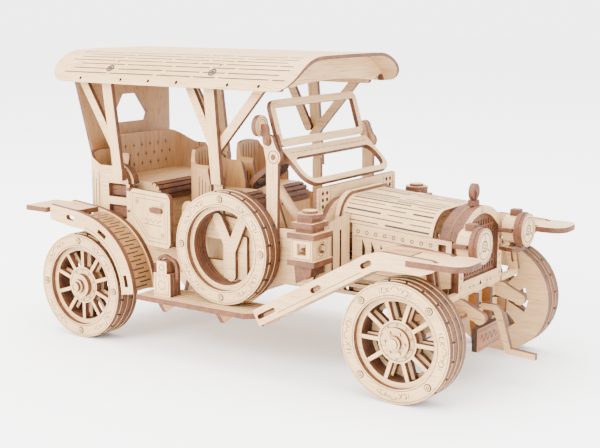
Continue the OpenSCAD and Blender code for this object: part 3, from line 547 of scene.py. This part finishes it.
# ---- doors: a border, corner curls and a small ornament that follow each door's own plane ----
HINGE_X, HINGE_Y = -80.6, 48.9
DOOR_HALF_THICK = 1.2
DOOR_AJAR = 11
DOOR_BORDER = ((4.4, 74), (4.4, 87), (36.4, 87), (36.4, 61), (18.6, 61))  # from the hinge, height
DOOR_PANEL = ((6.6, 75), (6.6, 84.8), (34.2, 84.8), (34.2, 63.2), (19.6, 63.2))
DOOR_CURLS = ((8.8, 82.6), (32.0, 82.6), (32.0, 65.4))


def mark_door(name, body, side, ajar):
    a = math.radians(ajar)
    along = Vector((math.cos(a), side * math.sin(a), 0))
    out = Vector((-math.sin(a), side * math.cos(a), 0))
    origin = Vector((car_x(HINGE_X), side * HINGE_Y, 0)) + out * DOOR_HALF_THICK

    def at(distance, z):
        return origin + along * distance + Vector(UP) * z

    marks = Strokes(0.35)
    marks.outline([at(*corner) for corner in DOOR_BORDER], out)
    marks.outline([at(*corner) for corner in DOOR_PANEL], out, 0.25)
    for spot in DOOR_CURLS:
        marks.ring(at(*spot), 1.3, out, FINE)
        marks.ring(at(*spot), 0.5, out, FINE)
    for k in range(7):
        marks.ring(at(17 + 2.1 * k, 72.8), 0.9, out, 0.28, 180 * (k % 2), 180)
    marks.line(at(15, 70.6), at(31.5, 70.6), out, FINE)
    marks.line(at(27, 77), at(27, 81.8), out, FINE)
    marks.make(name, body)


# ---- bonnet: broken lines along the bent top, and rivets over the louvres on each side ----
BONNET_R, BONNET_TOP, BONNET_Y = 12.9, 92.0, 27.0
BONNET_X0, BONNET_RISE = 49.5, 1.4
BONNET_TILT = math.radians(3.6)
TOP_REAR, TOP_FRONT = 53, 104
BONNET_RIVETS, RIVET_X, RIVET_STEP = 9, 61, 5.4


def on_bonnet(x, angle, side, inward=0.0):
    """A point on the bent bonnet sheet, at an angle round its corner or further in on its flat top."""
    y = BONNET_Y - BONNET_R + BONNET_R * math.cos(angle) - inward
    dx = x - BONNET_X0
    dz = BONNET_R * (math.sin(angle) - 1)
    lean, level = math.sin(BONNET_TILT), math.cos(BONNET_TILT)
    px = BONNET_X0 + dx * level + dz * lean
    pz = BONNET_TOP + BONNET_RISE - dx * lean + dz * level
    up = (math.sin(angle) * lean, side * math.cos(angle), math.sin(angle) * level)
    return (car_x(px), side * y, pz), up


def mark_bonnet():
    bonnet = Strokes(0.45)
    corner_rows = [(math.radians(7 + 13 * k), 0.0) for k in range(7)]
    flat_rows = [(math.pi / 2, 3.5), (math.pi / 2, 8.0)]
    for side in SIDES:
        for k, (angle, inward) in enumerate(corner_rows + flat_rows):
            split = 74 + 7 * ((k * 2) % 4)
            for x0, x1 in ((TOP_REAR, split), (split + 4, TOP_FRONT)):
                a, up = on_bonnet(x0, angle, side, inward)
                b, _ = on_bonnet(x1, angle, side, inward)
                wide = (k + (x0 == TOP_REAR)) % 3 == 0
                bonnet.line(a, b, up, 0.95 if wide else 0.5)
    for side in SIDES:
        face, normal = side * BONNET_Y, (0, side, 0)
        for k in range(BONNET_RIVETS):
            x = RIVET_X + RIVET_STEP * k
            bonnet.ring((car_x(x), face, 75.6 - 0.062 * (x - RIVET_X)), 0.85, normal)
        for rear_z, front_z in ((73.2, 70.6), (54, 52.8)):
            bonnet.line((car_x(59), face, rear_z), (car_x(106), face, front_z), normal, FINE)
    bonnet.make("bonnet_lines", "car")


# ---- upholstery: tufts and ribs on the seat backs, ribs round the bent rear corners of the tub ----
REAR_BACK_X = -110.8
TUFT_ROWS, TUFT_STEP, TUFT_REACH = 4, 7.4, 23.5
REAR_ARM_Y = 35.6
TUB_CORNER_X, TUB_CORNER_Y, TUB_CORNER_R = -106, 33, 14
FRONT_SEAT_Y, FRONT_SEAT_HALF = 21, 17
FRONT_BACK_FACE, FRONT_BACK_REAR = -46.8, -49


def mark_tufts(strokes):
    x = car_x(REAR_BACK_X)
    for row in range(TUFT_ROWS):
        z = 90.5 + 5.8 * row
        for k in range(-3, 4):
            y = TUFT_STEP * (k + 0.5 * (row % 2))
            if abs(y) < TUFT_REACH:
                strokes.line((x, y, z - 1.3), (x, y, z + 1.3), FORWARD)
                strokes.line((x, y - 0.9, z), (x, y + 0.9, z), FORWARD)


def mark_seat_ribs(strokes, side):
    outward, inward = (0, side, 0), (0, -side, 0)
    for k in range(4):
        x = car_x(-97 + 1.5 * k)
        strokes.line((x, side * REAR_ARM_Y, 92 + k), (x, side * REAR_ARM_Y, 107 - 2.2 * k), inward)
    for k in range(9):
        a = math.radians(180 - 90 * k / 8)
        up = (math.cos(a), side * math.sin(a), 0)
        x = car_x(TUB_CORNER_X) + TUB_CORNER_R * up[0]
        y = side * TUB_CORNER_Y + TUB_CORNER_R * up[1]
        strokes.line((x, y, 54 + 3 * (k % 2)), (x, y, 96 - 4 * (k % 2)), up, 0.55)
    for k in range(-2, 3):
        y = side * FRONT_SEAT_Y + 2.7 * k
        front, back = car_x(FRONT_BACK_FACE), car_x(FRONT_BACK_REAR)
        strokes.line((front, y, 90), (front, y, 110.5), FORWARD)
        strokes.line((back, y, 81), (back, y, 109), BACK)
    for k in range(4):
        x = car_x(-37.5 + 2.4 * k)
        for reach, normal in ((FRONT_SEAT_HALF, outward), (-FRONT_SEAT_HALF, inward)):
            y = side * (FRONT_SEAT_Y + reach)
            strokes.line((x, y, 81), (x, y, 98 - 1.5 * k), normal)


def mark_seats():
    seats = Strokes(0.5)
    mark_tufts(seats)
    for side in SIDES:
        mark_seat_ribs(seats, side)
    seats.make("seat_ribs", "car")


# ---- lamps: rings and three rays on each headlight, frames and rings on the side lamps ----
TUB_Y = 47.0
HEAD_X, HEAD_Y, HEAD_Z = 134.0, 26.3, 75.7
SIDE_LAMP_X, SIDE_LAMP_Y, SIDE_LAMP_RAISED = 50, TUB_Y + 9, 2.5
LAMP_FRONT, LAMP_SIDE = 7.2, 7.9
LAMP_LOW, LAMP_HIGH = 63.2, 72.8


def mark_lamps():
    lamps = Strokes(0.4)
    for side in SIDES:
        centre = Vector((car_x(HEAD_X), side * HEAD_Y, HEAD_Z))
        for radius, width in ((8.2, FINE), (6.6, 0.45), (2.6, 0.7), (1.1, 0.4)):
            lamps.ring(centre, radius, FORWARD, width)
        for angle in (90, 210, 330):
            ray = Vector((0, math.cos(math.radians(angle)), math.sin(math.radians(angle))))
            lamps.line(centre + ray * 3.4, centre + ray * 6.2, FORWARD, 0.5)
        lamp = Vector((car_x(SIDE_LAMP_X), side * SIDE_LAMP_Y, SIDE_LAMP_RAISED))
        lamps.ring(lamp + Vector((LAMP_FRONT, 0, 68)), 3.7, FORWARD, 0.35)
        front = [lamp + Vector((LAMP_FRONT, y, z)) for y, z in rectangle(-4.6, 4.6, LAMP_LOW, LAMP_HIGH)]
        lamps.outline(front, FORWARD, FINE)
        face = [lamp + Vector((x, side * LAMP_SIDE, z)) for x, z in rectangle(-5.6, 5.6, LAMP_LOW, LAMP_HIGH)]
        lamps.outline(face, (0, side, 0), FINE)
        lamps.ring(lamp + Vector((0, 0, 86)), 5.4, UP, 0.35)
    lamps.make("lamp_lines", "car")


# ---- front end: radiator rivets and badge, number plate border and a generic wave ----
RADIATOR_X = 119.5
PLATE_X = 125.3
WAVE_POINTS, WAVE_STEP, WAVE_Z = 25, 0.8, 22.8


def mark_radiator():
    radiator = Strokes(0.35)
    for side in SIDES:
        for k in range(6):
            radiator.ring((car_x(RADIATOR_X), side * 22.4, 52 + 4.8 * k), 0.6, FORWARD)
    radiator.ring((car_x(RADIATOR_X), 0, 88.9), 1.2, FORWARD)
    for y in (-12, -8, 8, 12):
        radiator.ring((car_x(RADIATOR_X), y, 50.2), 0.6, FORWARD)
    radiator.make("radiator_marks", "car")


def mark_number_plate():
    plate = Strokes(0.4)
    x = car_x(PLATE_X)
    plate.outline([(x, y, z) for y, z in rectangle(-12.4, 12.4, 18.2, 27.4)], FORWARD)
    half = WAVE_STEP * (WAVE_POINTS - 1) / 2
    wave = [(x, WAVE_STEP * k - half, WAVE_Z + 2.0 * math.sin(k * 1.05)) for k in range(WAVE_POINTS)]
    plate.add(wave, [FORWARD] * WAVE_POINTS, 0.6)
    plate.make("number_plate_ornament", "car", DEEP)


# ---- windscreen: rings on the posts' bosses and the mirror, and a broken line along the lower frame ----
POST_OUT = TUB_Y + 2.45
MIRROR_BOSS, PIVOT = (18.8, 122.6), (22.3, 114.4)
MIRROR_X, MIRROR_Y, MIRROR_Z = 15.9, -(TUB_Y + 3.45), 130.5
FRAME_SLOPE = Vector((17.3, 0, 18.5)).normalized()


def mark_windscreen():
    screen = Strokes(0.35)
    for side in SIDES:
        for (x, z), radius, width in ((MIRROR_BOSS, 2.3, 0.5), (PIVOT, 3.3, 0.45)):
            screen.ring((car_x(x), side * POST_OUT, z), radius, (0, side, 0), width)
    for radius in (4.7, 3.4):
        screen.ring((car_x(MIRROR_X), MIRROR_Y, MIRROR_Z), radius, FORWARD, 0.35)
    bar = Vector((car_x(24.4), 0, 114.6)) + FRAME_SLOPE * 1.3
    for k in range(-6, 7):
        ends = [bar + Vector((0, 6 * k + reach, 0)) for reach in (-2.2, 2.2)]
        screen.line(*ends, FRAME_SLOPE, FINE)
    screen.make("windscreen_marks", "car")


# ---- body: boards, tub panels, face plate, fuel can and the ribbed back of the tub ----
BOARD_TOP = 33.5
BOARD_LINES = (51, 54.5, 58, 61.5, 65, 68)
TUB_PANEL = ((-10, 52), (14, 52), (14, 72), (-10, 76))
FACE_PLATE_X = 44
CAN_X, CAN_FRONT_Y = -42.3, -61.5 - 4.45
TUB_BACK_X = -120


def mark_body():
    body = Strokes(0.35)
    for side in SIDES:
        for y in BOARD_LINES:
            body.line((car_x(-56), side * y, BOARD_TOP), (car_x(16), side * y, BOARD_TOP), UP, 0.35)
        body.outline([(car_x(x), side * TUB_Y, z) for x, z in TUB_PANEL], (0, side, 0), FINE)
        for y, foot in ((38, 73), (27.5, 86)):
            x = car_x(FACE_PLATE_X)
            body.line((x, side * y, foot), (x, side * y, 97), FORWARD, FINE)
    can_out = (0, -1, 0)
    can_panel = rectangle(CAN_X - 4.7, CAN_X + 4.7, 34.8, 45.4)
    body.outline([(car_x(x), CAN_FRONT_Y, z) for x, z in can_panel], can_out, FINE)
    body.ring((car_x(CAN_X), CAN_FRONT_Y, 40), 2.4, can_out, FINE)
    body.ring((car_x(CAN_X), CAN_FRONT_Y, 50), 1.6, can_out, 0.35)
    for k in range(-5, 6):
        body.line((car_x(TUB_BACK_X), 6 * k, 56), (car_x(TUB_BACK_X), 6 * k, 103), BACK, 0.4)
    body.make("body_lines", "car")


mark_roof()
mark_wheels()
mark_fenders()
mark_door("door_near_lines", "door_near", -1, DOOR_AJAR)
mark_door("door_far_lines", "door_far", 1, 0)
mark_bonnet()
mark_seats()
mark_lamps()
mark_radiator()
mark_number_plate()
mark_windscreen()
mark_body()


# ---- stage ----
SKY_TINT = (1.0, 0.99, 0.975, 1)
SKY_STRENGTH = 4.6


def make_floor():
    mat, nodes, links, shader = new_material("studio_floor")
    coord = nodes.new("ShaderNodeTexCoord").outputs["Object"]
    tone = noise(nodes, links, coord, 3, 2.0)
    white = ramp(nodes, links, tone, [(0.3, (0.97,) * 3), (0.7, (0.985,) * 3)])
    links.new(white, shader.inputs["Base Color"])
    shader.inputs["Roughness"].default_value = 0.9
    bpy.ops.mesh.primitive_grid_add(x_subdivisions=4, y_subdivisions=4, size=12)
    floor = bpy.context.object
    floor.name = "studio_floor"
    floor.data.materials.append(mat)


def make_world():
    world = bpy.data.worlds.new("studio")
    bpy.context.scene.world = world
    world.use_nodes = True
    background = world.node_tree.nodes["Background"]
    background.inputs[0].default_value = SKY_TINT
    background.inputs[1].default_value = SKY_STRENGTH


def area_light(name, place, aim, size, power, colour):
    data = bpy.data.lights.new(name, "AREA")
    data.shape = "RECTANGLE"
    data.size, data.size_y = size
    data.energy = power
    data.color = colour
    lamp = bpy.data.objects.new(name, data)
    lamp.location = place
    lamp.rotation_euler = (Vector(aim) - Vector(place)).to_track_quat("-Z", "Y").to_euler()
    bpy.context.scene.collection.objects.link(lamp)


make_floor()
make_world()
area_light("key", (-0.35, -1.2, 0.75), (0, 0, 0.08), (0.9, 0.7), 48, (1.0, 0.98, 0.95))
area_light("top", (-0.1, 0.1, 1.3), (0, 0, 0.1), (1.2, 1.0), 24, (1.0, 1.0, 1.0))


# ---- camera at the reference view ----
def make_camera(place, aim, lens):
    data = bpy.data.cameras.new("camera")
    camera = bpy.data.objects.new("camera", data)
    bpy.context.scene.collection.objects.link(camera)
    camera.location = Vector(place) * MM
    camera.rotation_euler = (Vector(aim) * MM - camera.location).to_track_quat("-Z", "Y").to_euler()
    data.lens = lens
    data.sensor_width = 36
    data.clip_start, data.clip_end = 0.01, 50
    bpy.context.scene.camera = camera


make_camera((car_x(382.12), -548.85, 193.37), (car_x(5.30), 0, 69.42), 70.92)
